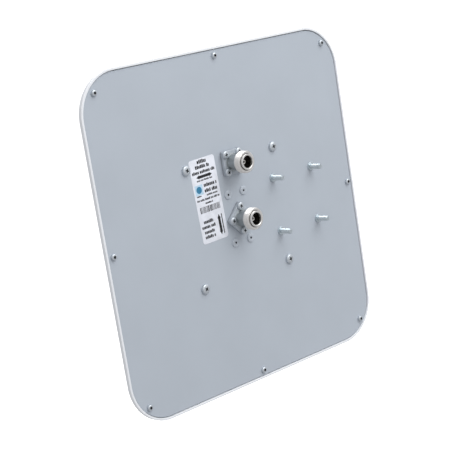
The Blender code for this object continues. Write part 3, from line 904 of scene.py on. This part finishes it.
SEAT = (4.2 * MM, 9.0 * MM)  # the insulator's hole: radius, top
CORE = (3.9 * MM, 1.3 * MM)  # the insulator's radius and bore
CORE_HEIGHTS = (-1.6 * MM, 9.3 * MM)
CONTACT_RADIUS = 1.55 * MM
CONTACT_HOLE = (0.85 * MM, 4 * MM)  # radius, depth
CONTACT_SHANK = 1.0 * MM
CONTACT_PIN = 0.65 * MM
SLIT = (4 * MM, 0.28 * MM, 3.6 * MM)
SLIT_DROP = 1.2 * MM  # from the contact's top to a slit's middle
SLIVER = 0.05 * MM
HAIR = 0.01 * MM


def flange_plate(name, low, high, bore, edge):
    """A square flange with rounded corners and edges, four screw holes and a bore."""
    profile = filleted([(1 * MM, high, 0), (0, high, edge), (0, low, 0.1 * MM), (1 * MM, low, 0)], 3)
    plate = square_loft(name, profile, FLANGE_HALF, FLANGE_HALF, FLANGE_CORNER, 8)
    bottom, top = low - 1 * MM, high + 1 * MM
    holes = [rod(bore, bottom, top, 64)]
    for sx in (-1, 1):
        for sy in (-1, 1):
            drill = rod(FLANGE_DRILL, bottom, top)
            holes.append(moved(drill, sx * FLANGE_HOLE, sy * FLANGE_HOLE))
    return combined(plate, "DIFFERENCE", gathered("flange_holes", holes))


def barrel_mesh():
    """The socket's barrel: bore, sleeve, relief groove, thread, neck and spigot."""
    top = SOCKET_TOP
    width, depth = RELIEF
    spigot, spigot_end = SPIGOT
    seat, seat_top = SEAT
    groove = SLEEVE_RADIUS + width
    rim = [
        (BORE_RADIUS, top - 1.6 * MM, 0),
        (BORE_RADIUS, top - BORE_CHAMFER, 0.06 * MM),
        (BORE_RADIUS + BORE_CHAMFER, top, 0.06 * MM),
        (SLEEVE_RADIUS, top, 0.2 * MM),
        (SLEEVE_RADIUS, SHOULDER - depth, 0),
        (groove, SHOULDER - depth, 0),
        (groove, SHOULDER, SLIVER),
        (THREAD_RADIUS - THREAD_CHAMFER, SHOULDER, 0.15 * MM),
        (THREAD_RADIUS, SHOULDER - THREAD_CHAMFER, 0.1 * MM),
        (THREAD_RADIUS, SHOULDER - 0.75 * MM, 0),
    ]
    neck_top, sunk = THREAD_START + SLIVER, FLANGE_TOP - NECK_SUNK
    neck = [
        (THREAD_RADIUS, THREAD_START + 0.65 * MM, 0),
        (THREAD_RADIUS - 0.1 * MM, THREAD_START + 0.4 * MM, 0.1 * MM),
        (NECK_RADIUS + 0.8 * MM, neck_top, 0.2 * MM),
        (NECK_RADIUS, neck_top, 0.3 * MM),
        (NECK_RADIUS, FLANGE_TOP + SLIVER, 0.3 * MM),
        (NECK_RADIUS + NECK_SUNK, FLANGE_TOP, 0),
        (NECK_RADIUS + NECK_SUNK, sunk, 0),
        (spigot, sunk, 0),
        (spigot, spigot_end, 0),
        (seat, spigot_end, 0),
    ]
    thread_high, thread_low = SHOULDER - 0.8 * MM, THREAD_START + 0.7 * MM
    rows = thread_rows(THREAD_RADIUS, thread_high, thread_low, THREAD_PITCH / 10)
    inside = [(seat, seat_top), (BORE_RADIUS, seat_top)]
    profile = filleted(rim, 4) + rows + filleted(neck, 4) + inside
    low, high = THREAD_START + 0.6 * MM, SHOULDER - 0.7 * MM
    thread = Thread(THREAD_RADIUS, low, high, THREAD_PITCH, THREAD_DEPTH)
    return lathe("barrel", profile, 96, closed=True, thread=thread)


def shell_finish(out, up):
    """Which of a shell's finishes a face takes: its front, its hollows in painted shade, its neck in
    nickel darkened with painted shade, or its flange.
    """
    bore = out < BORE_RADIUS + SLIVER and up < SOCKET_TOP - BORE_BRIGHT
    relief = out < SLEEVE_RADIUS + RELIEF[0] + HAIR and up < SHOULDER - SLIVER
    if up < FLANGE_TOP + HAIR:
        return 3
    if up > SEAT[1] - 0.1 * MM and (bore or relief):
        return 1
    # the neck takes the nickel darkened with painted shade
    if up < THREAD_START - 0.1 * MM:
        return 2
    return 0


def insulator_mesh():
    radius, bore = CORE
    low, high = CORE_HEIGHTS
    edge = 0.15 * MM
    profile = [(bore, high, 0), (radius, high, edge), (radius, low, edge), (bore, low, 0)]
    return lathe("core", filleted(profile, 3), 48, closed=True)


def contact_mesh(low, top):
    """The centre contact: a hollow socket with four spring fingers, its shank and its pin."""
    hole, depth = CONTACT_HOLE
    core_low, core_high = CORE_HEIGHTS
    outline = [
        (hole, top - depth, 0),
        (hole, top, 0.12 * MM),
        (CONTACT_RADIUS, top, 0.2 * MM),
        (CONTACT_RADIUS, core_high, 0.1 * MM),
        (CONTACT_SHANK, core_high, 0),
        (CONTACT_SHANK, core_low, 0),
        (CONTACT_PIN, core_low, 0),
        (CONTACT_PIN, low, 0.1 * MM),
        (0, low, 0),
    ]
    contact = lathe("contact", [(0, top - depth)] + filleted(outline, 4), 32)
    slit = block(SLIT, top - SLIT_DROP)
    slits = [moved(slit, turn=math.pi / 4), moved(slit, turn=3 * math.pi / 4)]
    contact = combined(contact, "DIFFERENCE", *slits)

    # the contact's hole takes the painted shade
    def chosen(out, up):
        return 1 if out < 0.88 * MM and top - 4.1 * MM < up < top - 0.1 * MM else 0

    return painted(contact, ("silver", "bore"), chosen)


def make_connector(name, turn):
    shell = name + "_connector_shell"
    x, y = centre_of(shell)
    where = {"x": x, "y": y, "turn": turn}

    flange = flange_plate("flange", GASKET_TOP, FLANGE_TOP, NECK_RADIUS - 0.6 * MM, FLANGE_EDGE)
    body = combined(flange, "UNION", barrel_mesh())
    body = painted(body, ("nickel", "bore", "neck_nickel_and_painted_shade", "flange_nickel"), shell_finish)
    piece(shell + "_fine", body, None, "nickel", [shell], **where)

    node = name + "_flange_gasket"
    gasket = flange_plate("gasket", 0, GASKET_TOP - 0.02 * MM, SPIGOT_DRILL, GASKET_EDGE)
    piece(node + "_fine", gasket, "rubber", stands_for=[node], **where)

    node = name + "_connector_insulator"
    piece(node + "_fine", insulator_mesh(), "ptfe", stands_for=[node], **where)

    node = name + "_connector_contact"
    low, high = local_box(node)
    piece(node + "_fine", contact_mesh(low.z, high.z), None, "silver", [node], **where)


# Label, whose print is laid out in millimetres from its middle

LABEL_SIZE = (24.2 * MM, 60 * MM)
LABEL_TURN = math.radians(1.9)
LABEL_CORNER = 2 * MM
LABEL_TOP = 0.16 * MM
LABEL_EDGE = [(0.15 * MM, LABEL_TOP), (0.03 * MM, LABEL_TOP - 0.04 * MM), (0, 0)]
INK_TOP = LABEL_TOP + 0.02 * MM
INK_FOOT = LABEL_TOP - 0.01 * MM

PRINT_LINES = [  # middle, height on the label, width, print height
    (-0.3, 27.6, 8.6, 2.2),
    (-0.5, 24.0, 13.0, 2.0),
    (-0.2, 20.4, 21.0, 1.9),
    (-0.1, 14.7, 15.0, 1.1),
    (4.0, 10.6, 12.2, 2.1),
    (4.0, 6.6, 12.2, 2.1),
    (4.3, 3.6, 10.4, 1.1),
    (-7.7, 4.0, 5.0, 0.9),
    (0.0, 0.9, 21.2, 1.3),
    (0.0, -1.9, 7.0, 1.2),
    (-3.9, -14.8, 8.8, 2.0),
    (-4.2, -18.4, 13.0, 1.9),
    (-4.3, -22.1, 9.6, 1.9),
    (-4.0, -25.6, 10.4, 1.9),
]
ARROWS = [  # middle, height on the label, length, thickness, upright
    (-0.1, 17.2, 14.8, 2.0, False),
    (6.3, -19.7, 14.8, 2.2, True),
    (8.9, -19.6, 15.0, 0.8, True),
]
WORD_LENGTHS = (3, 7)
LETTER_WIDTHS = (0.44, 0.70)  # over the print height, as are the next five
LETTER_HEIGHTS = [0.95, 0.95, 1.2]
LETTER_SPACE = 0.12
WORD_SPACE = 0.4
LINE_END = 0.3  # the last stretch of a line, too short for a letter
LETTER_ROUND = 0.06
BARCODE_HALF = 9.4
BARCODE_PLACE = -6.1
BARCODE_HEIGHT = 4.4
STRIPE_WIDTHS = [0.35, 0.5, 0.5, 0.8]
STRIPE_SPACES = [0.3, 0.45, 0.7]
STRIPE_ROUND = 0.01
PATCH_PLACE = (-7.1, 8.4)
PATCH_SIZE = (7.4, 7.2, 0.5)  # width, height, corner
DISC_RADIUS = 2.5 * MM
DISC_DEPTH = 0.03 * MM


def flat_bar(x, y, width, height, radius):
    """A printed bar in label millimetres, with rounded corners."""
    half_x, half_y = width / 2 * MM, height / 2 * MM
    mesh = square_loft("bar", [(0, INK_TOP), (0, INK_FOOT)], half_x, half_y, radius * MM, 3)
    return moved(mesh, x * MM, y * MM)


def flat_shape(points):
    """A printed polygon in label millimetres."""
    shape = bmesh.new()
    upper = [shape.verts.new((x * MM, y * MM, INK_TOP)) for x, y in points]
    lower = [shape.verts.new((x * MM, y * MM, INK_FOOT)) for x, y in points]
    bridge(shape, [upper, lower])
    shape.faces.new(upper)
    shape.faces.new(lower)
    return finish_mesh(shape, "shape")


def greeked_line(x, y, width, height, dice):
    """A line of print stood in for by plain blocks, grouped as words."""
    blocks = []
    at, right = x - width / 2, x + width / 2
    left_in_word = dice.randint(*WORD_LENGTHS)
    while at < right - LINE_END * height:
        wide = min(dice.uniform(*LETTER_WIDTHS) * height, right - at)
        tall = height * dice.choice(LETTER_HEIGHTS)
        middle, level = at + wide / 2, y - (height - tall) / 2
        blocks.append(flat_bar(middle, level, wide, tall, LETTER_ROUND * height))
        at += wide + LETTER_SPACE * height
        left_in_word -= 1
        if not left_in_word:
            at += WORD_SPACE * height
            left_in_word = dice.randint(*WORD_LENGTHS)
    return blocks


def double_arrow(x, y, length, thickness, upright):
    half, head, reach = length / 2, thickness * 0.72, thickness * 1.3
    points = [
        (-half, 0),
        (-half + reach, head),
        (-half + reach, thickness / 2),
        (half - reach, thickness / 2),
        (half - reach, head),
        (half, 0),
    ]
    points += [(px, -py) for px, py in reversed(points[1:-1])]
    if upright:
        points = [(-py, px) for px, py in points]
    return flat_shape([(x + px, y + py) for px, py in points])


def barcode(dice):
    stripes = []
    at = -BARCODE_HALF
    while at < BARCODE_HALF:
        wide = dice.choice(STRIPE_WIDTHS)
        middle = at + wide / 2
        stripes.append(flat_bar(middle, BARCODE_PLACE, wide, BARCODE_HEIGHT, STRIPE_ROUND))
        at += wide + dice.choice(STRIPE_SPACES)
    return stripes


def make_label():
    width, height = LABEL_SIZE
    low, high = local_box("rear_label")
    where = {"x": (low.x + high.x) / 2, "y": (low.y + high.y) / 2, "turn": LABEL_TURN}
    film = square_loft("label_film", LABEL_EDGE, width / 2, height / 2, LABEL_CORNER, 10)
    piece("rear_label_film", film, "label", stands_for=["rear_label"], **where)

    dice = random.Random(11)
    ink = []
    for line in PRINT_LINES:
        ink += greeked_line(*line, dice)
    ink += [double_arrow(*arrow) for arrow in ARROWS]
    ink += barcode(dice)
    piece("rear_label_ink", gathered("label_ink", ink), "ink", "label", **where)

    x, y = PATCH_PLACE
    piece("rear_label_patch", flat_bar(x, y, *PATCH_SIZE), "pale_ink", "label", **where)
    profile = [(0, DISC_DEPTH), (DISC_RADIUS, DISC_DEPTH), (DISC_RADIUS, 0), (0, 0)]
    disc = moved(lathe("disc", profile, 40), x * MM, y * MM, INK_TOP - HAIR)
    piece("rear_label_disc", disc, "blue_ink", "label", **where)


def finish_inner_nodes():
    """The CAD nodes that stay keep their shape and take a finish."""
    for name, item in frame["nodes"].items():
        if item.hide_render:
            continue
        rows = frame["record"]["subparts"]
        slot = next(row["material_slot"] for row in rows if row["node"] == name)
        item.data.materials.clear()
        item.data.materials.append(FINISHES[slot])


FINISHES = make_finishes()
make_camera()
make_stage()
make_radome()
make_plate()
make_screws()
make_studs()
make_standoffs()
for connector, angle in CONNECTORS.items():
    make_connector(connector, angle)
make_label()
finish_inner_nodes()
